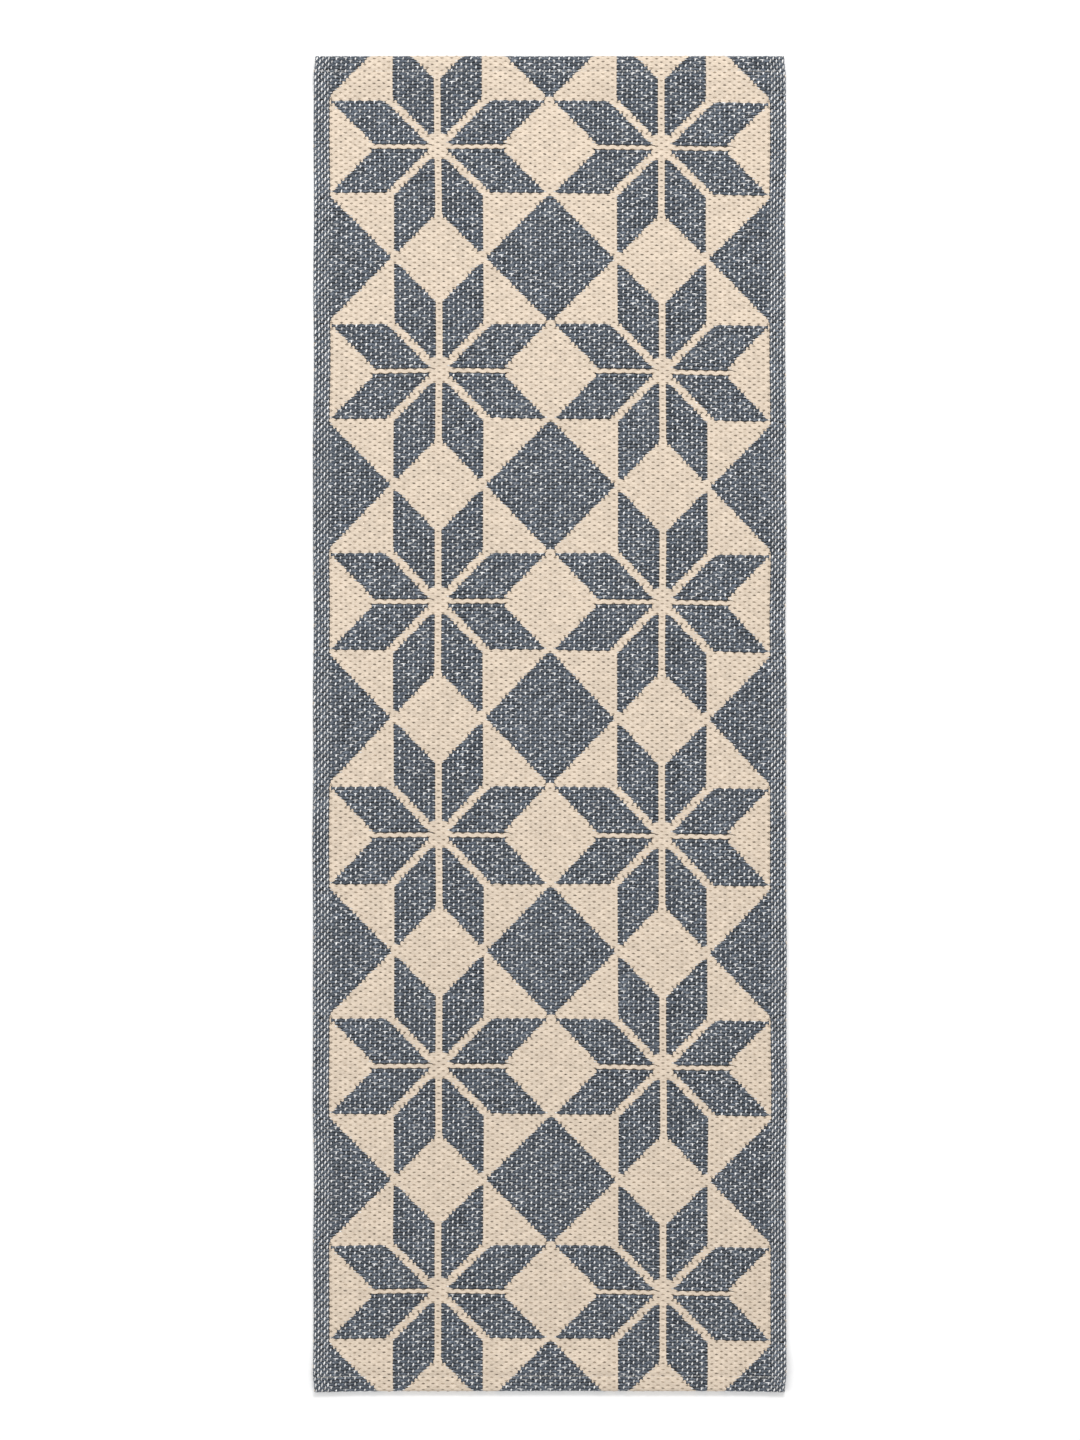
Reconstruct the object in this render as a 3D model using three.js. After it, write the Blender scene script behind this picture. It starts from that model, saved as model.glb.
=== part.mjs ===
// Flat-woven runner rug, lying face up: +Y along its length, +X across, +Z up. Millimetres.
// Two colours of thick weft cross the rug in one cloth. At each place one of them lies on the face and the
// other on the back, and the warp runs lengthwise between them. Both long edges are plain woven selvedges,
// each round five warp cords, and both ends are turned under and sewn down with a lockstitch.
import * as THREE from 'three';

// Finished size
const length = 1978;
const width = 700;

// The cloth, from the floor up: back weft, inner warp, face weft
const backWeftThickness = 2.0;
const innerWarpThickness = 0.8;
const faceWeftThickness = 2.0;
const layerGap = 0.3; // clearance wherever two pieces lie against each other

// Selvedges
const selvedgeCordsPerSide = 5;
const selvedgeCordPitch = 4.3;
const selvedgeCordDiameter = 1.8;
const selvedgeInnerMargin = 3.1; // from the innermost cord's centre to the patterned field

// End hems
const hemDepth = 30; // from the finished end to the cut edge under the rug
const hemThickness = 4.6; // the turned-under cloth, pressed a little flatter
const hemSideInset = 1.5; // the fold is this much narrower than the rug at each side
const stitchMargin = 7; // from the cut edge to the line of stitches
const threadDiameter = 0.9;
const threadEndInset = 5; // the stitches stop this far from the sides of the fold
const plainMargin = 1; // the turned-under cloth keeps its full thickness this far in from its cut edge
const rampLength = 45; // the cloth climbs from the floor onto the hem over this length

// Mesh fineness
const cordSides = 8;
const rampSteps = 6;
const foldSegments = 12;
const edgeSegments = 8;

// Colours and finishes of the yarns
function yarn(color, roughness) {
  return new THREE.MeshStandardMaterial({ color, roughness, metalness: 0 });
}
const blueWeft = yarn(0x6d737c, 0.92);
const creamWeft = yarn(0xe2d0bb, 0.92);
const warpYarn = yarn(0xd8dade, 0.92);
const sewingThread = yarn(0xc9ccd0, 0.7);

// Heights that follow from the layers
const innerWarpBase = backWeftThickness + layerGap;
const faceWeftBase = innerWarpBase + innerWarpThickness + layerGap;
const clothThickness = faceWeftBase + faceWeftThickness;
const endThickness = hemThickness + layerGap + clothThickness;

// Places along the length, measured from the middle
const foldStart = length / 2 - endThickness / 2; // where the cloth begins to turn round the end
const clothEnd = foldStart - layerGap;
const hemEdge = length / 2 - hemDepth;
const stitchLine = hemEdge + stitchMargin;
const nipHalfWidth = stitchMargin - plainMargin; // the stitches draw the cloth in this far to each side
const rampStart = hemEdge - rampLength;

// Sizes across; the outermost cord lies at the centre of the selvedge's rounded edge
const selvedgeWidth = clothThickness / 2 + (selvedgeCordsPerSide - 1) * selvedgeCordPitch + selvedgeInnerMargin;
const fieldWidth = width - 2 * (selvedgeWidth + layerGap);
const hemWidth = width - 2 * hemSideInset;
const nipDepth = threadDiameter + layerGap; // the thread lies sunk, level with the face of the cloth

const rug = new THREE.Group();

function addPiece(name, geometry, material) {
  const mesh = new THREE.Mesh(geometry, material);
  mesh.name = name;
  rug.add(mesh);
  return mesh;
}

// How far the stitches draw the cloth in, at a distance from the middle.
function nip(distance) {
  const away = Math.abs(distance - stitchLine) / nipHalfWidth;
  return away < 1 ? nipDepth * 0.5 * (1 + Math.cos(Math.PI * away)) : 0;
}

// Height of the cloth's underside: on the floor, then up a smooth ramp onto the turned-under hem.
function lift(distance) {
  const climb = THREE.MathUtils.smoothstep(distance, rampStart, hemEdge);
  return climb * (hemThickness + layerGap) - nip(distance);
}

// Places along one half of the length where the cloth's height changes.
const nipStations = [-1, -0.5, 0, 0.5, 1].map((share) => stitchLine + share * nipHalfWidth);
const halfStations = [];
for (let step = 0; step <= rampSteps; step++) {
  halfStations.push(rampStart + (rampLength * step) / rampSteps);
}
halfStations.push(...nipStations, clothEnd);
const stations = [...halfStations.map((distance) => -distance).reverse(), ...halfStations];

// Runs a section of the cloth (x across, y up from the cloth's underside) along the rug and over both hems.
function runLengthwise(section) {
  const steps = stations.length - 1;
  const geometry = new THREE.ExtrudeGeometry(section, { depth: steps, steps, bevelEnabled: false });
  const position = geometry.attributes.position;
  for (let i = 0; i < position.count; i++) {
    const along = stations[Math.round(position.getZ(i))];
    position.setXYZ(i, position.getX(i), -along, position.getY(i) + lift(Math.abs(along)));
  }
  geometry.computeVertexNormals();
  return geometry;
}

function circlePoints(centreX, centreY, radius) {
  const points = [];
  for (let side = 0; side < cordSides; side++) {
    const angle = (2 * Math.PI * side) / cordSides;
    points.push(new THREE.Vector2(centreX + radius * Math.cos(angle), centreY + radius * Math.sin(angle)));
  }
  return points;
}

// The patterned field: three flat layers between the selvedges
function fieldLayer(base, thickness) {
  const half = fieldWidth / 2;
  const top = base + thickness;
  const section = new THREE.Shape([
    new THREE.Vector2(-half, base),
    new THREE.Vector2(half, base),
    new THREE.Vector2(half, top),
    new THREE.Vector2(-half, top),
  ]);
  return runLengthwise(section);
}
addPiece('field_back_weft', fieldLayer(0, backWeftThickness), creamWeft);
addPiece('field_inner_warp', fieldLayer(innerWarpBase, innerWarpThickness), warpYarn);
addPiece('field_face_weft', fieldLayer(faceWeftBase, faceWeftThickness), blueWeft);

// Selvedges: blue weft round the cords
function cordPlace(cord, side) {
  return side * (width / 2 - clothThickness / 2 - cord * selvedgeCordPitch);
}

function selvedgeBand(side) {
  const inner = width / 2 - selvedgeWidth;
  const edgeCentre = width / 2 - clothThickness / 2;
  const points = [new THREE.Vector2(side * inner, clothThickness), new THREE.Vector2(side * inner, 0)];
  for (let step = 0; step <= edgeSegments; step++) {
    const angle = -Math.PI / 2 + (Math.PI * step) / edgeSegments;
    const x = edgeCentre + (clothThickness / 2) * Math.cos(angle);
    points.push(new THREE.Vector2(side * x, (clothThickness / 2) * (1 + Math.sin(angle))));
  }
  const section = new THREE.Shape(points);
  const channelRadius = selvedgeCordDiameter / 2 + layerGap;
  for (let cord = 0; cord < selvedgeCordsPerSide; cord++) {
    const channel = circlePoints(cordPlace(cord, side), clothThickness / 2, channelRadius);
    section.holes.push(new THREE.Path(channel));
  }
  return runLengthwise(section);
}

function selvedgeCord(cord, side) {
  const outline = circlePoints(cordPlace(cord, side), clothThickness / 2, selvedgeCordDiameter / 2);
  return runLengthwise(new THREE.Shape(outline));
}

for (const [sideName, side] of [['left', -1], ['right', 1]]) {
  addPiece(`selvedge_${sideName}`, selvedgeBand(side), blueWeft);
  for (let cord = 0; cord < selvedgeCordsPerSide; cord++) {
    addPiece(`selvedge_cord_${sideName}_${cord + 1}`, selvedgeCord(cord, side), warpYarn);
  }
}

// End hems: the cloth turns round the end and lies back under the rug, thinner along the stitches
function hemGeometry() {
  const section = new THREE.Shape();
  const grooves = [hemEdge, ...nipStations, foldStart];
  section.moveTo(foldStart, endThickness);
  for (const along of [...grooves].reverse()) {
    section.lineTo(along, hemThickness - nip(along));
  }
  for (const along of grooves) {
    section.lineTo(along, nip(along));
  }
  section.absarc(foldStart, endThickness / 2, endThickness / 2, -Math.PI / 2, Math.PI / 2, false);
  const extrusion = { depth: hemWidth, bevelEnabled: false, curveSegments: foldSegments };
  const geometry = new THREE.ExtrudeGeometry(section, extrusion);
  geometry.translate(0, 0, -hemWidth / 2);
  // section x runs along the rug and section y up, so the extrusion lies across it
  geometry.rotateX(Math.PI / 2);
  geometry.rotateZ(Math.PI / 2);
  return geometry;
}

// One thread of the lockstitch, lying across the rug
function threadGeometry(height) {
  const radius = threadDiameter / 2;
  const geometry = new THREE.CylinderGeometry(radius, radius, hemWidth - 2 * threadEndInset, cordSides);
  geometry.rotateZ(Math.PI / 2);
  geometry.translate(0, stitchLine, height);
  return geometry;
}
const needleThreadHeight = endThickness - threadDiameter / 2;
const bobbinThreadHeight = threadDiameter / 2;

for (const [endName, turn] of [['far', 0], ['near', Math.PI]]) {
  const pieces = [
    addPiece(`end_hem_${endName}`, hemGeometry(), blueWeft),
    addPiece(`hem_needle_thread_${endName}`, threadGeometry(needleThreadHeight), sewingThread),
    addPiece(`hem_bobbin_thread_${endName}`, threadGeometry(bobbinThreadHeight), sewingThread),
  ];
  for (const piece of pieces) {
    piece.rotation.z = turn;
  }
}

export default rug;
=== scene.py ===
import math

import bmesh
import bpy
import numpy as np
from mathutils import Matrix, Vector


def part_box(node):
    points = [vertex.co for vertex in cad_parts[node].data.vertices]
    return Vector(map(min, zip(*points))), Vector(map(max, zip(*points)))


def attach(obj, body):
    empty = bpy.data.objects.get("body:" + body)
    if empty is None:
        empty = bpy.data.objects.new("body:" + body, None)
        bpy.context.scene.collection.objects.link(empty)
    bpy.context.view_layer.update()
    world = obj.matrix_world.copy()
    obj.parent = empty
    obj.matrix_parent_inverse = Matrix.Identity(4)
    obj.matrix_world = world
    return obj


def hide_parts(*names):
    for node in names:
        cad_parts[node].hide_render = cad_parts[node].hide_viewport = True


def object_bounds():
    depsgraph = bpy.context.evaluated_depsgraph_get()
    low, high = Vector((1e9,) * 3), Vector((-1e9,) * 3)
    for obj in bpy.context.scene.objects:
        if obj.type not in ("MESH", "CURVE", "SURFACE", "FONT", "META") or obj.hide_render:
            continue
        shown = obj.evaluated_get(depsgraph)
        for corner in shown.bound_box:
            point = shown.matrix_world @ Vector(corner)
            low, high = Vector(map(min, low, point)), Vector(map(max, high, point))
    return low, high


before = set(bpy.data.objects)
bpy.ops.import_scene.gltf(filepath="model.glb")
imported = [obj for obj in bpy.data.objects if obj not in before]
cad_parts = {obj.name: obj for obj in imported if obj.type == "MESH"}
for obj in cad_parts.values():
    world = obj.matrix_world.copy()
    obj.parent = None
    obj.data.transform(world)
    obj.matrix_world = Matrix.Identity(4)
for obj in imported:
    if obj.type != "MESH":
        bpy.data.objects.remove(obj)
cadLow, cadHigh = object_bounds()
print("frame loaded:", len(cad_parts), "nodes")

# the cloth as a whole, in metres; its outline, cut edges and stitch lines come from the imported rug
needleLow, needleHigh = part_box("hem_needle_thread_far")
cloth = {
    "thickness": 0.0054,
    "halfWidth": cadHigh.x,
    "halfLength": cadHigh.y,
    "endHeight": cadHigh.z,             # where the cloth lies doubled at its ends
    "cutEdge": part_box("end_hem_far")[0][1],
    "stitchLine": (needleLow[1] + needleHigh[1]) / 2,
    "rampLength": 0.045,                # over which the cloth climbs onto the hem
    "nipDepth": 0.0012,                 # how far the stitches draw the cloth in
    "nipHalfWidth": 0.006,
    "edgeWave": 0.0008,                 # the long edges wander this much
    "waveSize": 0.24,
    "waveAcross": 0.3,                  # the wave changes slowly across the rug
    "waveSeed": 11,
    "cornerDrop": 0.0022,               # the near corners stick out a little
    "dropPower": 6,
    "dropSteep": 6,                     # within the last sixth of the half length
    "cornerTuck": 0.0022,               # and the ends are drawn in at the sides
    "tuckPower": 4,
}
cloth["foldRadius"] = cloth["endHeight"] / 2
cloth["foldStart"] = cloth["halfLength"] - cloth["foldRadius"]
cloth["hemLift"] = cloth["endHeight"] - cloth["thickness"]
cloth["rampStart"] = cloth["cutEdge"] - cloth["rampLength"]
cloth["stripLength"] = cloth["foldStart"] - cloth["cutEdge"]
cloth["faceEnd"] = cloth["foldStart"] + math.pi * cloth["foldRadius"] + cloth["stripLength"]

# how the rows and the warp run out of true, as on any cloth from a hand loom
lay = {
    "rowGather": 0.0019,                # rows crowd toward both ends
    "rowSlope": -0.0020,                # the right edge lags the left
    "rowBow": -0.0025,                  # and both edges lag the middle
    "bowMiddle": 0.2,
    "rowWave": 0.0005,
    "waveSeed": 12,
    "sideShift": 0.0010,
    "sideSwing": -0.0008,
    "widthSwing": 0.0015,               # the pattern widens and narrows along the rug
    "endSpread": 0.0018,
    "edgeHold": 4,                      # but the outer edges stay where they are
}

# how the yarns cross: rows of weft are counted from the far end, warp ends from the left
weave = {
    "warpPitch": 0.0072,
    "fieldEnds": 91,
    "selvedgeEnds": [0.0026, 0.0074, 0.0121, 0.0167, 0.0211],   # in from the outer edge
    "selvedgeOver": 0.0022,             # the plain edge reaches this far past its last cord
    "rows": 422,
    "rowsHidden": 0.4,                  # part of the first row is round the fold
    "hemRows": 7,                       # rows turned under at each end
    "rowsPerStar": 72,
    "firstStarRow": 30,
    "starWidth": 0.3312,
    "beatLong": 0.0066,                 # rows are beaten closer near the ends
    "beatShort": 0.0016,
    "overlay": 0.0010,                  # where two colours meet, blue lies this far over the cream
    "tieOver": 0.0003,                  # and this far past the binder that ends it
}
weave["rowPitch"] = 2 * cloth["halfLength"] / (weave["rows"] - weave["rowsHidden"])


def smooth(share):
    share = np.clip(share, 0, 1)
    return share * share * (3 - 2 * share)


waves = {"count": 6, "phase": 6.28, "shortest": 0.6, "longest": 1.6}


def ripple(across, along, seed, size):
    # a gentle, uneven wave made of a few crossing ones
    random = np.random.default_rng(seed)
    least, most = (0, 0, waves["shortest"]), (math.pi, waves["phase"], waves["longest"])
    total = 0
    for heading, phase, stretch in random.uniform(least, most, (waves["count"], 3)):
        run = across * math.cos(heading) + along * math.sin(heading)
        total = total + np.sin(run * 2 * math.pi / (size * stretch) + phase)
    return total / waves["count"] ** 0.5


def nip(distance):
    away = np.clip(np.abs(distance - cloth["stitchLine"]) / cloth["nipHalfWidth"], 0, 1)
    return cloth["nipDepth"] * 0.5 * (1 + np.cos(math.pi * away))


def wander(across, along):
    u, v = across / cloth["halfWidth"], np.clip(along / cloth["halfLength"], -1, 1)
    turned = 2 * math.pi * v
    slide = lay["rowGather"] * np.sin(math.pi * v) + lay["rowSlope"] * u
    slide = slide + lay["rowBow"] * (u ** 2 - lay["bowMiddle"])
    slide = slide + lay["rowWave"] * ripple(across, along, lay["waveSeed"], cloth["waveSize"])
    shift = lay["sideShift"] + lay["sideSwing"] * (np.cos(turned) + v)
    shift = shift + u * (lay["widthSwing"] * np.sin(turned) + lay["endSpread"] * v ** 2)
    return across + shift * (1 - np.clip(np.abs(u), 0, 1) ** lay["edgeHold"]), along + slide


def onCloth(across, along, height):
    # along follows the face from the middle of the rug, round the fold and back under the hem;
    # height is measured up from the other side of the cloth
    side = np.where(along < 0, -1.0, 1.0)
    distance = np.abs(along)
    past = np.clip(distance - cloth["foldStart"], 0, None)
    turn = np.clip(past / cloth["foldRadius"], 0, math.pi)
    under = np.clip(past - math.pi * cloth["foldRadius"], 0, None)
    top = np.minimum(distance, cloth["foldStart"])
    radius = cloth["foldRadius"] - cloth["thickness"] + height
    y = top - under + radius * np.sin(turn)
    climb = cloth["hemLift"] * smooth((top - cloth["rampStart"]) / cloth["rampLength"]) - nip(top)
    z = np.where(past > 0, cloth["foldRadius"] + radius * np.cos(turn), climb + height)
    z = z + np.where(under > 0, nip(top - under), 0)
    y = y * side
    edge = np.clip(np.abs(across) / cloth["halfWidth"], 0, 1)
    ending = smooth((distance - cloth["cutEdge"]) / cloth["stripLength"])
    wave = ripple(across * cloth["waveAcross"], y, cloth["waveSeed"], cloth["waveSize"])
    x = across + cloth["edgeWave"] * wave * edge
    x = x - np.sign(across) * cloth["cornerTuck"] * ending * edge ** cloth["tuckPower"]
    nearEnd = smooth(-y / cloth["halfLength"] * cloth["dropSteep"] - (cloth["dropSteep"] - 1))
    y = y - cloth["cornerDrop"] * edge ** cloth["dropPower"] * nearEnd
    return np.stack([x, y, z], -1)


def rowPlace(row):
    share = 2 * math.pi * row / weave["rows"]
    start = cloth["halfLength"] + weave["rowsHidden"] * weave["rowPitch"]
    beat = weave["beatLong"] * np.sin(share) + weave["beatShort"] * np.sin(share / 2)
    return start - weave["rowPitch"] * row + beat


def endPlaces():
    edge = [cloth["halfWidth"] - inset for inset in weave["selvedgeEnds"]]
    field = (np.arange(weave["fieldEnds"]) - (weave["fieldEnds"] - 1) / 2) * weave["warpPitch"]
    left = [-cloth["halfWidth"]] + [-x for x in edge]
    return np.concatenate([left, field, edge[::-1] + [cloth["halfWidth"]]])


# petals and diamonds of the pattern, as shares of one star's width and length from its centre
star = {
    "diamond": 0.712,
    "stripe": 0.017,
    "uprightOuter": 0.197,
    "uprightNear": 0.0215,
    "uprightFar": 0.290,
    "levelInner": 0.009,
    "levelOuter": 0.209,
    "levelNear": 0.0285,
    "levelFar": 0.273,
}


def fromNearest(share):
    return np.abs(share - np.round(share))


def blueOnFace(across, row):
    a = fromNearest(across / weave["starWidth"] - 0.5)
    b = fromNearest((row - weave["firstStarRow"]) / weave["rowsPerStar"])
    diamond = a + b > star["diamond"]
    upright = (a > star["stripe"]) & (a < star["uprightOuter"])
    upright = upright & (a < b - star["uprightNear"]) & (a > b - star["uprightFar"])
    level = (b > star["levelInner"]) & (b < star["levelOuter"])
    level = level & (a > b + star["levelNear"]) & (a < b + star["levelFar"])
    return diamond | upright | level


ends = endPlaces()
lastEnd = len(ends) - 1
selvedgeCount = len(weave["selvedgeEnds"])
rowNumbers = np.arange(-weave["hemRows"], weave["rows"] + weave["hemRows"])
rowMiddles = rowPlace(rowNumbers + 0.5)
rowWidths = rowPlace(rowNumbers) - rowPlace(rowNumbers + 1)
unitMiddles = (ends[:-1] + ends[1:]) / 2
isBlue = blueOnFace(unitMiddles[None, :], rowNumbers[:, None] + 0.5)
inSelvedge = np.arange(lastEnd)
inSelvedge = (inSelvedge < selvedgeCount) | (inSelvedge >= lastEnd - selvedgeCount)
print("weave planned:", isBlue.shape[0], "rows by", len(ends) - 2, "warp ends")


# one float of weft between two binders
floatShape = {
    "sides": 4,
    "crestHalf": 0.0033,                # half its width at the crest
    "tieHalf": 0.0012,                  # and where a binder holds it down
    "fullness": 2.2,                    # how blunt it is from the side
    "taper": 1.25,                      # and from above
    "pitch": 0.0047,                    # the width of row that these are for
    "lean": 0.4,                        # the crest's place on a float that ends at another colour
    "tip": 0.7,                         # how far that end falls away
    "overlap": 1.04,                    # floats reach a little way under their binders
}
# what differs between the two yarns: heights, the share of the height at the sides, and widths
yarnFit = {
    "blue": {"crest": 0.0022, "tie": 0.0009, "shoulder": 0.80, "base": 0.0031, "wide": 0.86,
             "uneven": 0.17, "split": 0.88, "flat": False},
    "cream": {"crest": 0.0016, "tie": 0.0014, "shoulder": 0.92, "base": 0.0036, "wide": 1.12,
              "uneven": 0.03, "split": 0.88, "flat": True},
}
# where a float has its rings, for one that stays its colour and for one that meets another
floatCuts = {
    "face": {0: (-0.55, 0.0, 0.55), 1: (-0.2, 0.4), -1: (-0.4, 0.2)},
    "back": {0: (0.0,), 1: (0.4,), -1: (-0.4,)},
}
facing = {"down": -0.5, "endways": 0.95}


def readTemplate(bm, flat=False, inOrder=False):
    bm.normal_update()
    bm.verts.index_update()
    points = np.array([v.co[:] for v in bm.verts])
    faces = [([v.index for v in f.verts], f.normal.copy()) for f in bm.faces]
    if inOrder:
        # a spun or round shape stores its faces in a new order each run, so they are sorted here
        faces = [(ring[ring.index(min(ring)):] + ring[:ring.index(min(ring))], n) for ring, n in faces]
        faces.sort(key=lambda face: face[0])
    corners = np.concatenate([ring for ring, n in faces])
    counts = np.array([len(ring) for ring, n in faces])
    low = np.array([n.z < facing["down"] for ring, n in faces])
    sharp = low | np.array([flat or abs(n.x) > facing["endways"] for ring, n in faces])
    bm.free()
    return {"points": points, "corners": corners, "counts": counts, "low": low, "sharp": sharp}


def floatTemplate(fit, cuts, side=0):
    # side 1 or -1 keeps the float fuller at that end, for one that changes colour at its crest
    bm = bmesh.new()
    bmesh.ops.create_cone(bm, cap_ends=True, segments=floatShape["sides"], radius1=1, radius2=1, depth=2)
    for level in cuts:
        geometry = bm.verts[:] + bm.edges[:] + bm.faces[:]
        bmesh.ops.bisect_plane(bm, geom=geometry, plane_co=(0, 0, level), plane_no=(0, 0, 1))
    s, lean = floatShape, side * floatShape["lean"]
    shares = {1: 1, 0: fit["shoulder"], -1: 0}
    for v in bm.verts:
        along, across, up = v.co.z, v.co.x, v.co.y
        away = abs(along - lean) / (1 + abs(lean))
        if side and (along - lean) * side > 0:
            away = abs(along - lean) / (1 - abs(lean)) * s["tip"]
        height = fit["tie"] + (fit["crest"] - fit["tie"]) * (1 - away ** s["fullness"])
        half = s["tieHalf"] + (s["crestHalf"] - s["tieHalf"]) * (1 - away ** s["taper"])
        v.co = (along, -half * across, height * shares[round(up)])
    bmesh.ops.recalc_face_normals(bm, faces=bm.faces[:])
    return readTemplate(bm, fit["flat"])


def beadTemplate(detail):
    bm = bmesh.new()
    if detail:
        bmesh.ops.create_icosphere(bm, subdivisions=1, radius=1)
    else:
        # two pyramids, base to base
        lift = Matrix.Translation((0, 0, 0.5))
        for turned in (Matrix.Identity(4), Matrix.Rotation(math.pi, 4, "X")):
            bmesh.ops.create_cone(bm, segments=4, radius1=1, radius2=0, depth=1, matrix=turned @ lift)
        bmesh.ops.remove_doubles(bm, verts=bm.verts[:], dist=0.01)
        bmesh.ops.recalc_face_normals(bm, faces=bm.faces[:])
    return readTemplate(bm)


toneReach = 0.05                        # each copy shows its own stretch of the yarn
# the unwrapped piece seen from above, and its hidden undersides in a strip of their own
bakeSheet = {"width": 0.98, "height": 0.88, "margin": 0.01, "stripStart": 0.91, "stripHeight": 0.08}


def placeCopies(template, places, underside, follows):
    # places holds one value per copy: where it lies, its half length, widths, heights, slant and tone
    p = {key: np.asarray(value, float)[:, None] for key, value in places.items()}
    t = template["points"]
    lengthwise = t[None, :, 0] * p["halfLong"]
    sideways = t[None, :, 1] * p["wide"] * (-1.0 if underside else 1.0)
    across = p["x"] + lengthwise - sideways * p["slant"]
    along = p["s"] + sideways + lengthwise * p["slant"]
    height = p["base"] + t[None, :, 2] * p["high"]
    x, s = wander(across, along) if follows else (across, along)
    points = onCloth(x, s, cloth["thickness"] - height if underside else height).reshape(-1, 3)
    count, size = len(places["x"]), len(t)
    yarn = np.stack([across + p["tone"] * toneReach, sideways + np.zeros_like(across)], -1)
    return {
        "points": points,
        "corners": (template["corners"][None, :] + size * np.arange(count)[:, None]).ravel(),
        "counts": np.tile(template["counts"], count),
        "low": np.tile(template["low"], count),
        "sharp": np.tile(template["sharp"], count),
        "yarn": yarn.reshape(-1, 2),
        "tone": np.repeat(np.asarray(places["tone"], float), size),
    }


def stackCopies(name, sets, material, nodes, underside=False, follows=True):
    parts = [placeCopies(template, places, underside, follows) for template, places in sets]
    starts = np.cumsum([0] + [len(part["points"]) for part in parts])
    corners = np.concatenate([part["corners"] + start for part, start in zip(parts, starts)])
    joined = {key: np.concatenate([part[key] for part in parts]) for key in parts[0]}
    points, counts = joined["points"], joined["counts"]
    mesh = bpy.data.meshes.new(name)
    mesh.vertices.add(len(points))
    mesh.vertices.foreach_set("co", points.astype(np.float32).ravel())
    mesh.loops.add(len(corners))
    mesh.loops.foreach_set("vertex_index", corners.astype(np.int32))
    mesh.polygons.add(len(counts))
    mesh.polygons.foreach_set("loop_start", (np.cumsum(counts) - counts).astype(np.int32))
    mesh.polygons.foreach_set("use_smooth", ~joined["sharp"])
    yarnMap = mesh.uv_layers.new(name="yarn")
    yarnMap.uv.foreach_set("vector", joined["yarn"][corners].astype(np.float32).ravel())
    low, high = points[:, :2].min(0), points[:, :2].max(0)
    flat = (points[:, :2] - low) / (high - low) * (bakeSheet["width"], bakeSheet["height"])
    flat = (flat + bakeSheet["margin"])[corners]
    hidden = np.repeat(joined["low"], counts)
    flat[hidden, 1] = bakeSheet["stripStart"] + flat[hidden, 1] * bakeSheet["stripHeight"]
    bakeMap = mesh.uv_layers.new(name="OFBake")
    bakeMap.uv.foreach_set("vector", flat.astype(np.float32).ravel())
    mesh.uv_layers["yarn"].active = True
    mesh.uv_layers["yarn"].active_render = True
    tone = mesh.attributes.new("tone", "FLOAT", "POINT")
    tone.data.foreach_set("value", joined["tone"].astype(np.float32))
    mesh.update(calc_edges=True)
    mesh.validate()
    mesh.materials.append(material)
    return addPiece(name, mesh, nodes)


def addPiece(name, mesh, nodes):
    piece = bpy.data.objects.new(name, mesh)
    bpy.context.scene.collection.objects.link(piece)
    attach(piece, "root")
    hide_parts(*nodes)
    return piece


def makeGroup(name, inputs, outputs):
    group = bpy.data.node_groups.new(name, "ShaderNodeTree")
    kinds = {"value": "NodeSocketFloat", "color": "NodeSocketColor", "vector": "NodeSocketVector"}
    for labels, way in ((inputs, "INPUT"), (outputs, "OUTPUT")):
        for label, kind in labels.items():
            group.interface.new_socket(name=label, in_out=way, socket_type=kinds[kind])
    return group, group.nodes.new("NodeGroupInput"), group.nodes.new("NodeGroupOutput")


def setSocket(tree, socket, value):
    if isinstance(value, bpy.types.NodeSocket):
        tree.links.new(value, socket)
    else:
        socket.default_value = value


def addNode(tree, kind, settings=None, **sockets):
    # i0, i1 and so on stand for sockets that share a name
    node = tree.nodes.new(kind)
    for key, value in (settings or {}).items():
        setattr(node, key, value)
    for label, value in sockets.items():
        numbered = label[0] == "i" and label[1:].isdigit()
        setSocket(tree, node.inputs[int(label[1:])] if numbered else node.inputs[label], value)
    return node


def placeGroup(tree, group, **sockets):
    return addNode(tree, "ShaderNodeGroup", {"node_tree": group}, **sockets)


def mixColors(tree, share, first, second):
    return addNode(tree, "ShaderNodeMix", {"data_type": "RGBA"}, i0=share, i6=first, i7=second).outputs[2]


def stretchRange(tree, value, start, toRange=(0.0, 1.0)):
    return addNode(tree, "ShaderNodeMapRange", i0=value, i1=start[0], i2=start[1],
                   i3=toRange[0], i4=toRange[1]).outputs[0]


def vectorMath(tree, operation, first, second):
    return addNode(tree, "ShaderNodeVectorMath", {"operation": operation}, i0=first, i1=second).outputs[0]


def swingColor(tree, color, value, amount):
    # darker and lighter round the middle of value
    half = addNode(tree, "ShaderNodeMath", {"operation": "SUBTRACT"}, i0=value, i1=0.5).outputs[0]
    swing = addNode(tree, "ShaderNodeMath", {"operation": "MULTIPLY_ADD"}, i0=half, i1=amount, i2=1.0)
    return addNode(tree, "ShaderNodeVectorMath", {"operation": "SCALE"}, Vector=color,
                   Scale=swing.outputs[0]).outputs[0]


# streaks and flecks per metre, along the yarn and across it
strandLook = {
    "streaks": (150, 620, 1),
    "streakRange": (0.3, 0.62),
    "flecks": (260, 520, 1),
    "fleckShift": (17.3, 5.1, 0),
    "fleckRange": (0.5, 0.72),
    "twist": 0.8,
    "twistBend": 2.5,
    "grain": 0.6,
    "roughRange": (0.2, 0.8),
    "roughness": (0.96, 0.8),
}


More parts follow.
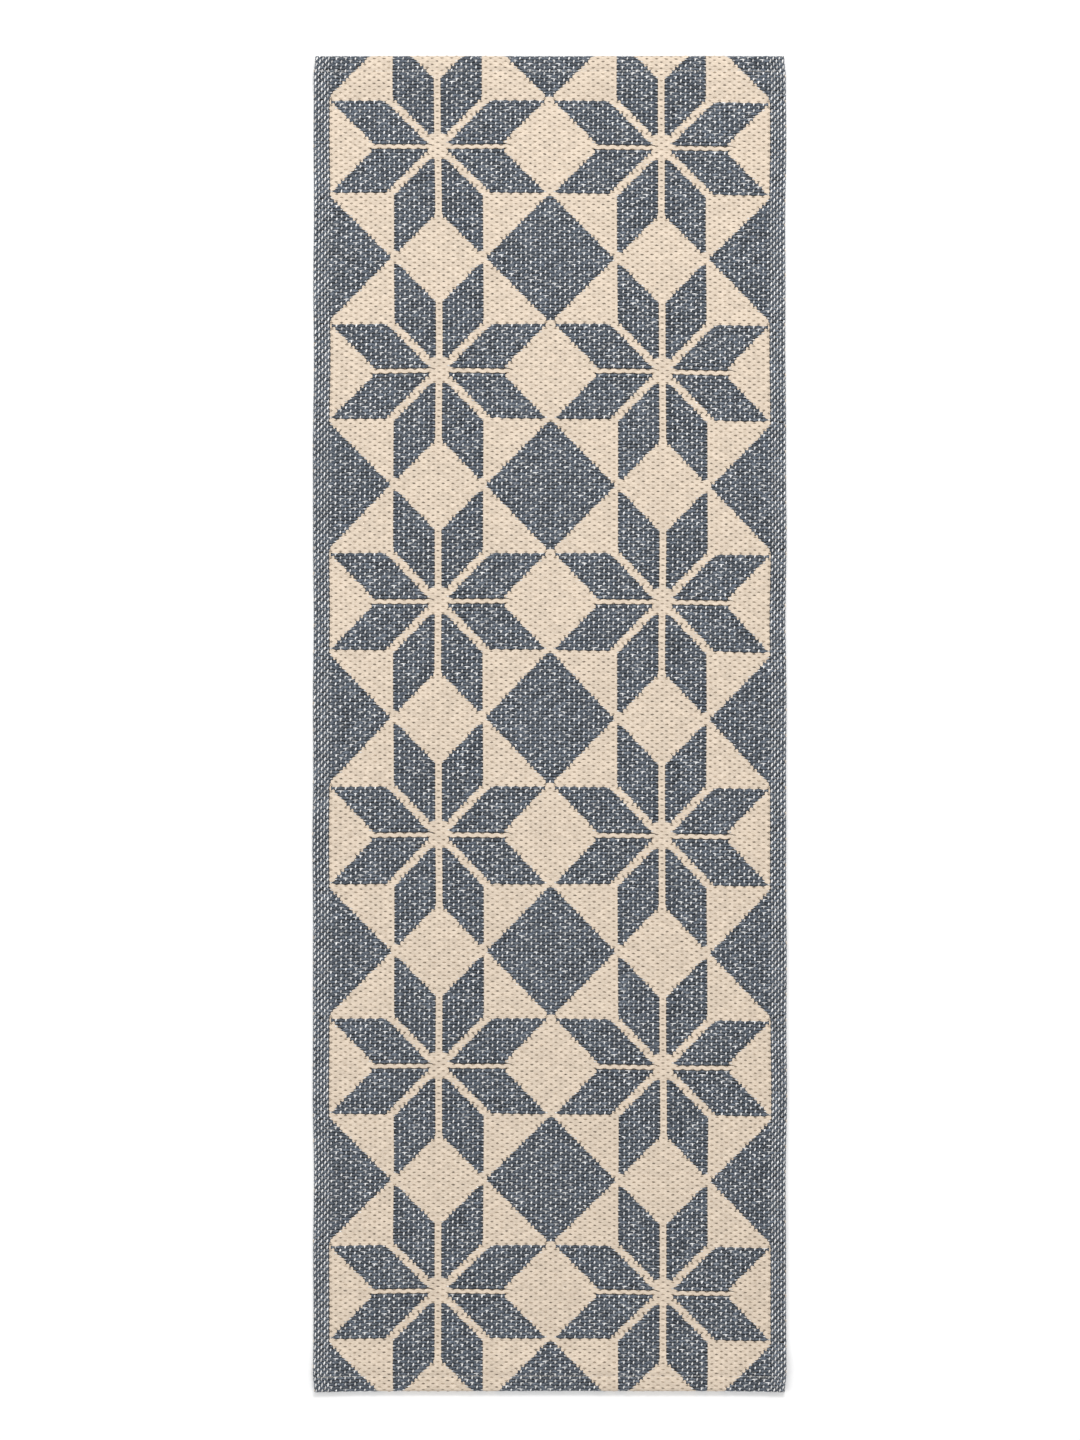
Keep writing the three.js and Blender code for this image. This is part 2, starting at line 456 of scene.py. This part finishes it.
def strandsGroup():
    # a soft bundle of loosely twisted strands, streaked along its length, with paler flecks of fibre
    look = strandLook
    group, given, out = makeGroup(
        "looseStrands",
        {"Yarn": "vector", "Tone": "value", "Dark": "color", "Middle": "color", "Pale": "color",
         "Fleck": "value", "Spread": "value"},
        {"Color": "color", "Height": "value", "Roughness": "value"})
    yarn = given.outputs["Yarn"]
    streakPlace = vectorMath(group, "MULTIPLY", yarn, look["streaks"])
    streak = addNode(group, "ShaderNodeTexNoise", Vector=streakPlace, Scale=1.0, Detail=3.0,
                     Roughness=look["grain"]).outputs["Fac"]
    fleckPlace = vectorMath(group, "MULTIPLY", yarn, look["flecks"])
    fleckPlace = vectorMath(group, "ADD", fleckPlace, look["fleckShift"])
    fleck = addNode(group, "ShaderNodeTexNoise", Vector=fleckPlace, Scale=1.0, Detail=2.0).outputs["Fac"]
    twist = addNode(group, "ShaderNodeTexWave", {"bands_direction": "DIAGONAL"}, Vector=streakPlace,
                    Scale=look["twist"], Distortion=look["twistBend"], Detail=1.0).outputs["Fac"]
    base = mixColors(group, stretchRange(group, streak, look["streakRange"]),
                     given.outputs["Dark"], given.outputs["Middle"])
    lit = addNode(group, "ShaderNodeMath", {"operation": "MULTIPLY"},
                  i0=stretchRange(group, fleck, look["fleckRange"]), i1=given.outputs["Fleck"])
    base = mixColors(group, lit.outputs[0], base, given.outputs["Pale"])
    toned = swingColor(group, base, given.outputs["Tone"], given.outputs["Spread"])
    group.links.new(toned, out.inputs["Color"])
    height = addNode(group, "ShaderNodeMath", {"operation": "ADD"}, i0=streak, i1=twist)
    group.links.new(height.outputs[0], out.inputs["Height"])
    rough = stretchRange(group, streak, look["roughRange"], look["roughness"])
    group.links.new(rough, out.inputs["Roughness"])
    return group


def shadeGroup():
    # slow changes of shade over the whole rug
    group, given, out = makeGroup("slowShade", {"Color": "color", "Amount": "value"}, {"Color": "color"})
    place = addNode(group, "ShaderNodeTexCoord").outputs["Object"]
    patch = addNode(group, "ShaderNodeTexNoise", Vector=place, Scale=4.5, Detail=4.0,
                    Roughness=0.6).outputs["Fac"]
    shaded = swingColor(group, given.outputs["Color"], patch, given.outputs["Amount"])
    group.links.new(shaded, out.inputs["Color"])
    return group


looseStrands = strandsGroup()
slowShade = shadeGroup()
yarnSurface = {"bumpDepth": 0.0004, "specular": 0.25, "sheenRoughness": 0.6}


def newFinish(name):
    material = bpy.data.materials.new(name)
    material.use_nodes = True
    return material, material.node_tree, material.node_tree.nodes["Principled BSDF"]


def yarnMaterial(name, look):
    material, tree, shader = newFinish(name)
    yarn = addNode(tree, "ShaderNodeUVMap", {"uv_map": "yarn"}).outputs["UV"]
    tone = addNode(tree, "ShaderNodeAttribute", {"attribute_name": "tone"}).outputs["Fac"]
    strands = placeGroup(tree, looseStrands, Yarn=yarn, Tone=tone, Dark=(*look["dark"], 1),
                         Middle=(*look["middle"], 1), Pale=(*look["pale"], 1), Fleck=look["fleck"],
                         Spread=look["spread"])
    shaded = placeGroup(tree, slowShade, Color=strands.outputs["Color"], Amount=look["patches"])
    tree.links.new(shaded.outputs["Color"], shader.inputs["Base Color"])
    tree.links.new(strands.outputs["Roughness"], shader.inputs["Roughness"])
    bump = addNode(tree, "ShaderNodeBump", Height=strands.outputs["Height"], Strength=look["relief"],
                   Distance=yarnSurface["bumpDepth"])
    tree.links.new(bump.outputs["Normal"], shader.inputs["Normal"])
    shader.inputs["Specular IOR Level"].default_value = yarnSurface["specular"]
    shader.inputs["Sheen Weight"].default_value = look["sheen"]
    shader.inputs["Sheen Roughness"].default_value = yarnSurface["sheenRoughness"]
    return material


blueYarn = yarnMaterial("heatheredBlueWeft", {
    "dark": (0.009, 0.013, 0.020), "middle": (0.124, 0.150, 0.190), "pale": (0.40, 0.43, 0.47),
    "fleck": 0.6, "spread": 0.55, "patches": 0.08, "relief": 0.8, "sheen": 0.05})
creamYarn = yarnMaterial("creamWeft", {
    "dark": (0.54, 0.445, 0.345), "middle": (0.70, 0.59, 0.475), "pale": (0.80, 0.70, 0.585),
    "fleck": 0.4, "spread": 0.13, "patches": 0.06, "relief": 0.15, "sheen": 0.0})
warpYarn = yarnMaterial("paleWarp", {
    "dark": (0.54, 0.54, 0.54), "middle": (0.76, 0.76, 0.76), "pale": (0.94, 0.94, 0.94),
    "fleck": 0.5, "spread": 0.5, "patches": 0.1, "relief": 0.3, "sheen": 0.0})
# the pale binder yarn again, coloured brown-grey: painted shade for the shadowed pits where it sinks
# between cream floats
warpInPaintedShade = yarnMaterial("warpInPaintedShade", {
    "dark": (0.24, 0.185, 0.13), "middle": (0.38, 0.305, 0.23), "pale": (0.54, 0.45, 0.35),
    "fleck": 0.4, "spread": 0.9, "patches": 0.1, "relief": 0.4, "sheen": 0.0})
threadFinish = yarnMaterial("paleThread", {
    "dark": (0.55, 0.52, 0.48), "middle": (0.72, 0.70, 0.66), "pale": (0.85, 0.84, 0.82),
    "fleck": 0.3, "spread": 0.2, "patches": 0.05, "relief": 0.3, "sheen": 0.0})
print("yarn finishes made")


# a line of only two cream rows is narrower than two rows, and what lies beside it closes over it
thinLine = {
    "rowsIn": 0.0010,
    "creamWide": 0.62,
    "blueIn": 0.0007,
    "blueWide": 1.12,
    "belowWide": 0.80,                  # for the first cream row under a level blue edge
    "belowOut": 0.0003,
}


def squeezeThinLines():
    row = np.arange(2, len(rowNumbers) - 2)
    nudge, wide = np.zeros(isBlue.shape), np.ones(isBlue.shape)
    for side in (1, -1):
        thin = ~isBlue[row] & ~isBlue[row + side] & isBlue[row - side] & isBlue[row + 2 * side]
        nudge[row] += np.where(thin, -side * thinLine["rowsIn"], 0)
        nudge[row - side] += np.where(thin, -side * thinLine["blueIn"], 0)
        wide[row] = np.where(thin, thinLine["creamWide"], wide[row])
        wide[row - side] = np.where(thin, thinLine["blueWide"], wide[row - side])
    above, here = isBlue[row - 1], isBlue[row]
    level = np.zeros(here.shape, bool)
    level[:, 1:-1] = above[:, :-2] & above[:, 1:-1] & above[:, 2:]
    level[:, 1:-1] &= ~(here[:, :-2] | here[:, 1:-1] | here[:, 2:])
    level = level & (wide[row] == 1)
    nudge[row] -= np.where(level, thinLine["belowOut"], 0)
    wide[row] = np.where(level, thinLine["belowWide"], wide[row])
    return nudge, wide


rowNudge, rowWide = squeezeThinLines()


def findColorEdges(follow=0.85, steps=12):
    # where two colours meet in a row, found between the middles of the two units
    share = (np.arange(steps) + 0.5) / steps
    places = np.tile(ends, (len(rowNumbers), 1))
    left, right = unitMiddles[:-1, None], unitMiddles[1:, None]
    samples = left + (right - left) * share
    seen = blueOnFace(samples[None], rowNumbers[:, None, None] + 0.5)
    crossing = left[:, 0] + (right - left)[:, 0] * np.mean(seen == isBlue[:, :-1, None], axis=2)
    inField = ~(inSelvedge[:-1] | inSelvedge[1:])
    places[:, 1:-1] += np.where(inField, (crossing - ends[1:-1]) * follow, 0)
    places[:, selvedgeCount] += weave["selvedgeOver"]
    places[:, -1 - selvedgeCount] -= weave["selvedgeOver"]
    return places


colorEdges = findColorEdges()


def crossings(first, last, parity, onFace):
    # rows and warp ends in brick order, leaving out the back where the hems hide it
    row, end = np.meshgrid(np.arange(len(rowNumbers)), np.arange(first, last), indexing="ij")
    chosen = (rowNumbers[row] + end) % 2 == parity
    if not onFace:
        chosen = chosen & (np.abs(rowMiddles[row]) < cloth["cutEdge"])
    return row[chosen], end[chosen]


def shownBlue(onFace):
    return (isBlue if onFace else ~isBlue) | inSelvedge[None, :]


def floatSpans(onFace):
    # each float runs between the two binders beside its own, and splits where the colour changes
    row, end = crossings(0, lastEnd + 1, 1 if onFace else 0, onFace)
    before, after = np.maximum(end - 1, 0), np.minimum(end, lastEnd - 1)
    shown = shownBlue(onFace)
    blueLeft, blueRight = shown[row, before], shown[row, after]
    part = blueLeft != blueRight
    outerLeft = shown[row, np.maximum(before - 1, 0)]
    outerRight = shown[row, np.minimum(after + 1, lastEnd - 1)]
    past = np.minimum(end + 1, lastEnd)
    start = np.where(outerLeft != blueLeft, colorEdges[row, before], ends[before])
    stop = np.where(outerRight != blueRight, colorEdges[row, past], ends[past])
    start = start + weave["tieOver"] * (outerLeft * 1.0 - blueLeft)
    stop = stop - weave["tieOver"] * (outerRight * 1.0 - blueRight)
    meet = colorEdges[row, end] + weave["overlay"] * np.where(blueLeft, 1, -1)
    rows, crests = [row[~part], row[part], row[part]], [end[~part], end[part], end[part]]
    starts = [start[~part], start[part], meet[part]]
    stops = [stop[~part], meet[part], stop[part]]
    blues = [blueLeft[~part], blueLeft[part], blueRight[part]]
    units = [before[~part], before[part], after[part]]
    leans = [np.zeros(np.sum(~part)), np.ones(np.sum(part)), -np.ones(np.sum(part))]
    spans = [np.concatenate(group) for group in (rows, crests, starts, stops, blues, leans, units)]
    return dict(zip(("row", "end", "start", "stop", "blue", "lean", "unit"), spans))


# where every float and bead lies
random = np.random.default_rng(2471)


def spread(amount, count):
    return random.uniform(-amount, amount, count)


floatSpread = {"along": 0.00015, "slant": 0.026, "base": 0.00012, "high": 0.04}


def floatPlaces(spans, chosen, fit, under):
    row, unit = spans["row"][chosen], spans["unit"][chosen]
    nudge = 0 if under else rowNudge[row, unit]
    wide = fit["wide"] * (1 if under else rowWide[row, unit])
    wide = wide * np.where(spans["lean"][chosen] == 0, 1, fit["split"])
    start, stop = spans["start"][chosen], spans["stop"][chosen]
    count = len(row)
    return {
        "x": (start + stop) / 2,
        "s": rowMiddles[row] + nudge + spread(floatSpread["along"], count),
        "halfLong": (stop - start) / 2 * floatShape["overlap"],
        "wide": rowWidths[row] / floatShape["pitch"] * (wide + spread(fit["uneven"], count)),
        "base": fit["base"] + spread(floatSpread["base"], count),
        "high": 1 + spread(floatSpread["high"], count),
        "slant": spread(floatSpread["slant"], count),
        "tone": random.uniform(0, 1, count),
    }


floats = {side: {color: {lean: floatTemplate(fit, cuts, lean) for lean, cuts in floatCuts[side].items()}
                 for color, fit in yarnFit.items()} for side in floatCuts}
bandCount = 6
bandOfRow = np.clip(rowNumbers * bandCount // weave["rows"], 0, bandCount - 1)
hemNodes = {0: ["end_hem_far"], bandCount - 1: ["end_hem_near"]}


def layWeft(name, spans, chosen, side, color, nodes):
    sets, under = [], side == "back"
    for lean, template in floats[side][color].items():
        some = chosen & (spans["lean"] == lean)
        if some.any():
            sets.append((template, floatPlaces(spans, some, yarnFit[color], under)))
    material = blueYarn if color == "blue" else creamYarn
    stackCopies(name, sets, material, nodes, under)


for side in ("face", "back"):
    spans = floatSpans(side == "face")
    edges = {"left": spans["blue"] & (spans["end"] <= selvedgeCount),
             "right": spans["blue"] & (spans["end"] >= lastEnd - selvedgeCount)}
    field = ~(edges["left"] | edges["right"])
    for band in range(bandCount):
        here = field & (bandOfRow[spans["row"]] == band)
        nodes = [f"field_{side}_weft"] + (hemNodes.get(band, []) if side == "face" else [])
        for color in ("blue", "cream"):
            chosen = here & (spans["blue"] == (color == "blue"))
            layWeft(f"{color}_weft_{side}_{band + 1}", spans, chosen, side, color, nodes)
    for hand, chosen in edges.items():
        layWeft(f"selvedge_weft_{side}_{hand}", spans, chosen, side, "blue", [f"selvedge_{hand}"])
    print("weft laid on the", side)


# the pale binders where they cross over the weft: half length, half width and half height of a bead
beads = {
    "blue": {"half": (0.0013, 0.0026, 0.0010), "middle": 0.0050, "slant": -0.28, "blueSides": 2},
    "cream": {"half": (0.0029, 0.0011, 0.0005), "middle": 0.0053, "slant": -0.05, "blueSides": 0},
    "edge": {"half": (0.0027, 0.0010, 0.0007), "middle": 0.0053, "slant": -0.1, "blueSides": 1},
    "selvedge": {"half": (0.0012, 0.0035, 0.0011), "middle": 0.0050, "slant": -0.28},
}
beadSpread = {"place": 0.0002, "size": 0.12, "base": 0.00015, "slant": 0.12}
roundBead, smallBead = beadTemplate(True), beadTemplate(False)


def beadPlaces(onFace):
    row, end = crossings(1, lastEnd, 0 if onFace else 1, onFace)
    shown = shownBlue(onFace)
    return row, end, shown[row, end - 1] * 1 + shown[row, end]


def beadSet(row, end, bead):
    count, half = len(row), bead["half"]
    return {
        "x": ends[end] + spread(beadSpread["place"], count),
        "s": rowMiddles[row] + spread(beadSpread["place"], count),
        "halfLong": half[0] * (1 + spread(beadSpread["size"], count)),
        "wide": half[1] * (1 + spread(beadSpread["size"], count)),
        "base": bead["middle"] + spread(beadSpread["base"], count),
        "high": np.full(count, half[2]),
        "slant": bead["slant"] + spread(beadSpread["slant"], count),
        "tone": random.uniform(0, 1, count),
    }


for side in ("face", "back"):
    onFace = side == "face"
    row, end, blueSides = beadPlaces(onFace)
    edges = {"left": end <= selvedgeCount, "right": end >= lastEnd - selvedgeCount}
    field = ~(edges["left"] | edges["right"])
    for label in ("blue", "cream", "edge") if onFace else ("blue", "edge"):
        shape = roundBead if onFace and label == "blue" else smallBead
        # binders among cream floats take the darker copy of the warp yarn, painted shade for their pits
        material = warpInPaintedShade if label == "cream" else warpYarn
        chosen = field & (blueSides == beads[label]["blueSides"])
        for part, nearer in (("far", False), ("near", True)):
            some = chosen & ((row > len(rowNumbers) / 2) == nearer)
            places = beadSet(row[some], end[some], beads[label])
            stackCopies(f"binders_{side}_on_{label}_{part}", [(shape, places)], material,
                                          ["field_inner_warp"], not onFace)
    for hand, chosen in edges.items():
        places = beadSet(row[chosen], end[chosen], beads["selvedge"])
        nodes = [f"selvedge_cord_{hand}_{number}" for number in range(1, selvedgeCount + 1)]
        stackCopies(f"selvedge_cords_{side}_{hand}", [(roundBead, places)], warpYarn,
                                      nodes, not onFace)
print("binders laid")


# thin slivers of the cream weft that show between rows of blue, in patches along a row
slivers = {
    "share": 0.42,
    "halfLong": 0.0034,
    "half": 0.0007,
    "high": 0.45,
    "middle": 0.0045,
    "above": 0.0016,
    "run": 0.05,                        # the length of the longest of three waves
    "waves": (1.0, 0.47, 0.23),
    "phase": 6.28,
    "seed": 31,
    "spreads": {"x": 0.0016, "s": 0.0003, "size": 0.5, "base": 0.0002, "slant": 0.12},
}


def showsThrough(row, x):
    # each row has its own slow wave along the rug's width
    phases = np.random.default_rng(slivers["seed"])
    phases = phases.uniform(0, slivers["phase"], (len(rowNumbers), len(slivers["waves"])))
    total = 0
    for number, scale in enumerate(slivers["waves"]):
        total = total + np.sin(x * 2 * math.pi / (slivers["run"] * scale) + phases[row, number])
    return total


def sliverPlaces():
    row, end, blueSides = beadPlaces(True)
    chosen = (blueSides == 2) & (end > selvedgeCount) & (end < lastEnd - selvedgeCount)
    row, end = row[chosen], end[chosen]
    patch = showsThrough(row, ends[end])
    chosen = patch > np.quantile(patch, 1 - slivers["share"])
    row, end = row[chosen], end[chosen]
    count, by = len(row), slivers["spreads"]
    return {
        "x": ends[end] + spread(by["x"], count),
        "s": rowMiddles[row] + slivers["above"] + spread(by["s"], count),
        "halfLong": slivers["halfLong"] * (1 + spread(by["size"], count)),
        "wide": slivers["half"] / floatShape["crestHalf"] * (1 + spread(by["size"], count)),
        "high": np.full(count, slivers["high"]),
        "base": slivers["middle"] + spread(by["base"], count),
        "slant": spread(by["slant"], count),
        "tone": random.uniform(0, 1, count),
    }


places = sliverPlaces()
stackCopies("cream_slivers_face", [(floats["back"]["blue"][0], places)], warpYarn,
                              ["field_face_weft"])
print("slivers:", len(places["x"]))


# the weft turns back on itself at both long edges, and a thinner cream turn shows now and then
turns = {
    "radius": 0.00235,
    "yarnWide": 0.0014,
    "yarnHigh": 0.0023,
    "middle": 0.0028,
    "sides": 6,
    "steps": 5,
    "spreads": {"place": 0.0003, "slant": 0.05},
    "blue": {"thick": 1.0, "outside": 0.0004, "lift": 0, "first": 0, "every": 2, "rowsBack": 0},
    "cream": {"thick": 0.6, "outside": 0.00064, "lift": 0.0006, "first": 3, "every": 8, "rowsBack": 0.5},
}


def turnTemplate(side, thick):
    bm = bmesh.new()
    bmesh.ops.create_circle(bm, cap_ends=True, segments=turns["sides"], radius=1)
    for v in bm.verts:
        out, up = v.co.x * turns["yarnWide"] * thick, v.co.y * turns["yarnHigh"] * thick
        v.co = (0, turns["radius"] + out, up)
    bmesh.ops.spin(bm, geom=bm.verts[:] + bm.edges[:] + bm.faces[:], cent=(0, 0, 0), axis=(0, 0, 1),
                   angle=-side * math.pi, steps=turns["steps"])
    bmesh.ops.remove_doubles(bm, verts=bm.verts[:], dist=0.00001)
    bmesh.ops.recalc_face_normals(bm, faces=bm.faces[:])
    return readTemplate(bm, inOrder=True)


def turnPlaces(side, kind):
    first = rowNumbers[kind["first"]::kind["every"]]
    meeting = rowPlace(first + (1 if side < 0 else 2)) - weave["rowPitch"] * kind["rowsBack"]
    reach = cloth["halfWidth"] + kind["outside"] - turns["radius"] - turns["yarnWide"] * kind["thick"]
    count, by = len(meeting), turns["spreads"]
    return {
        "x": side * (reach + spread(by["place"], count)),
        "s": meeting + spread(by["place"], count),
        "halfLong": np.ones(count),
        "wide": np.ones(count),
        "high": np.ones(count),
        "base": np.full(count, turns["middle"] + kind["lift"]),
        "slant": spread(by["slant"], count),
        "tone": random.uniform(0, 1, count),
    }


for hand, side in (("left", -1), ("right", 1)):
    for color, material in (("blue", blueYarn), ("cream", creamYarn)):
        copies = [(turnTemplate(side, turns[color]["thick"]), turnPlaces(side, turns[color]))]
        stackCopies(f"selvedge_turns_{color}_{hand}", copies, material,
                                      [f"selvedge_{hand}"])
print("edges turned")


# the lockstitch that holds each hem
stitch = {
    "pitch": 0.0046,
    "halfLong": 0.0019,
    "half": 0.00045,
    "blunt": 0.6,
    "middle": 0.0049,
    "slant": 0.05,
    "spreads": {"place": 0.0002, "size": 0.06, "slant": 0.05},
}


def stitchTemplate():
    bm = bmesh.new()
    bmesh.ops.create_uvsphere(bm, u_segments=6, v_segments=5, radius=1)
    for v in bm.verts:
        v.co = (math.copysign(abs(v.co.z) ** stitch["blunt"], v.co.z), v.co.x, v.co.y)
    bmesh.ops.recalc_face_normals(bm, faces=bm.faces[:])
    return readTemplate(bm, inOrder=True)


def stitchPlaces(across, along):
    count, by = len(across), stitch["spreads"]
    return {
        "x": across + spread(by["place"], count),
        "s": along + spread(by["place"], count),
        "halfLong": stitch["halfLong"] * (1 + spread(by["size"], count)),
        "wide": np.full(count, stitch["half"]),
        "high": np.full(count, stitch["half"]),
        "base": np.full(count, stitch["middle"]),
        "slant": stitch["slant"] + spread(by["slant"], count),
        "tone": random.uniform(0, 1, count),
    }


oneStitch = stitchTemplate()
underHem = 2 * cloth["foldStart"] + math.pi * cloth["foldRadius"] - cloth["stitchLine"]
for end, sign in (("far", 1), ("near", -1)):
    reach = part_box(f"hem_needle_thread_{end}")[1].x
    across = np.arange(-reach + stitch["pitch"] / 2, reach, stitch["pitch"])
    for kind, along in (("needle", cloth["stitchLine"]), ("bobbin", underHem)):
        copies = [(oneStitch, stitchPlaces(across, sign * along))]
        stackCopies(f"hem_stitches_{kind}_{end}", copies, threadFinish,
                                      [f"hem_{kind}_thread_{end}"], follows=False)
print("hems stitched")


# the body of the cloth inside the yarns, turned under at both ends; it is coloured near black as painted
# shade for the gaps between floats, where the inner cloth lies in shadow
ground = {
    "height": 0.0036,
    "wall": 0.0018,
    "halfWidth": 0.3485,
    "cellsAcross": 40,
    "cellsAlong": 300,
    "fibres": (900, 90, 90),            # per metre
    # near-black colours: painted shade seen through the gaps between floats
    "dark": (0.012, 0.013, 0.016, 1),
    "pale": (0.04, 0.04, 0.04, 1),
    "patches": 0.2,
    "relief": 0.5,
    "bumpDepth": 0.0005,
    "roughness": 0.95,
}


def groundShape():
    bm = bmesh.new()
    bmesh.ops.create_grid(bm, x_segments=ground["cellsAcross"], y_segments=ground["cellsAlong"], size=1)
    flat = np.array([v.co[:] for v in bm.verts])
    points = onCloth(flat[:, 0] * ground["halfWidth"], flat[:, 1] * cloth["faceEnd"],
                     np.full(len(flat), ground["height"]))
    for v, point in zip(bm.verts, points):
        v.co = point
    mesh = bpy.data.meshes.new("ground_cloth")
    bm.to_mesh(mesh)
    bm.free()
    for face in mesh.polygons:
        face.use_smooth = True
    return mesh


def groundPaintedShadeMaterial():
    material, tree, shader = newFinish("innerClothPaintedShade")
    place = addNode(tree, "ShaderNodeTexCoord").outputs["Object"]
    stretched = vectorMath(tree, "MULTIPLY", place, ground["fibres"])
    fibre = addNode(tree, "ShaderNodeTexNoise", Vector=stretched, Scale=1.0, Detail=3.0).outputs["Fac"]
    tint = mixColors(tree, fibre, ground["dark"], ground["pale"])
    shaded = placeGroup(tree, slowShade, Color=tint, Amount=ground["patches"])
    tree.links.new(shaded.outputs["Color"], shader.inputs["Base Color"])
    bump = addNode(tree, "ShaderNodeBump", Height=fibre, Strength=ground["relief"],
                   Distance=ground["bumpDepth"])
    tree.links.new(bump.outputs["Normal"], shader.inputs["Normal"])
    shader.inputs["Roughness"].default_value = ground["roughness"]
    return material


groundMesh = groundShape()
groundMesh.materials.append(groundPaintedShadeMaterial())
groundCloth = addPiece("ground_cloth", groundMesh,
                       ["field_inner_warp", "end_hem_far", "end_hem_near"])
wall = groundCloth.modifiers.new("wall", "SOLIDIFY")
wall.thickness = ground["wall"]
wall.offset = -1


# floor, light and camera
studio = {
    "floorSize": 6.0,
    "floorCells": 8,
    "floorBelow": 0.0004,
    "floorTone": 0.94,
    "floorRoughness": 0.9,
    "fill": 0.72,
    "key": {"power": 210.0, "place": (0.6, 4.0, 4.6), "size": (2.6, 1.2)},
    "side": {"power": 44.0, "place": (-3.4, -1.6, 3.6), "size": (2.4, 2.4)},
    "eye": (-0.0144, 0.0052, 5.042),
    "lens": 85,
    "filmHeight": 36,
    "seesTo": 50,
}


def addFloor():
    bm = bmesh.new()
    cells = studio["floorCells"]
    bmesh.ops.create_grid(bm, x_segments=cells, y_segments=cells, size=studio["floorSize"])
    bmesh.ops.translate(bm, verts=bm.verts[:], vec=(0, 0, -studio["floorBelow"]))
    mesh = bpy.data.meshes.new("floor")
    bm.to_mesh(mesh)
    bm.free()
    material, tree, shader = newFinish("paleFloor")
    shader.inputs["Base Color"].default_value = (*[studio["floorTone"]] * 3, 1)
    shader.inputs["Roughness"].default_value = studio["floorRoughness"]
    mesh.materials.append(material)
    floor = bpy.data.objects.new("floor", mesh)
    bpy.context.scene.collection.objects.link(floor)


def softLight(name, given):
    light = bpy.data.lights.new(name, "AREA")
    light.shape, light.energy = "RECTANGLE", given["power"]
    light.size, light.size_y = given["size"]
    lamp = bpy.data.objects.new(name, light)
    lamp.location = given["place"]
    lamp.rotation_euler = (-Vector(given["place"])).to_track_quat("-Z", "Y").to_euler()
    lamp.visible_camera = False
    bpy.context.scene.collection.objects.link(lamp)


addFloor()
softLight("keyLight", studio["key"])
softLight("sideLight", studio["side"])
world = bpy.data.worlds.new("paleRoom")
world.use_nodes = True
world.node_tree.nodes["Background"].inputs["Color"].default_value = (1, 1, 1, 1)
world.node_tree.nodes["Background"].inputs["Strength"].default_value = studio["fill"]
bpy.context.scene.world = world
bpy.context.scene.view_settings.view_transform = "Standard"

lens = bpy.data.cameras.new("overhead")
lens.lens = studio["lens"]
lens.sensor_fit = "VERTICAL"
lens.sensor_height = studio["filmHeight"]
lens.clip_end = studio["seesTo"]
eye = bpy.data.objects.new("overhead", lens)
eye.location = studio["eye"]
bpy.context.scene.collection.objects.link(eye)
bpy.context.scene.camera = eye
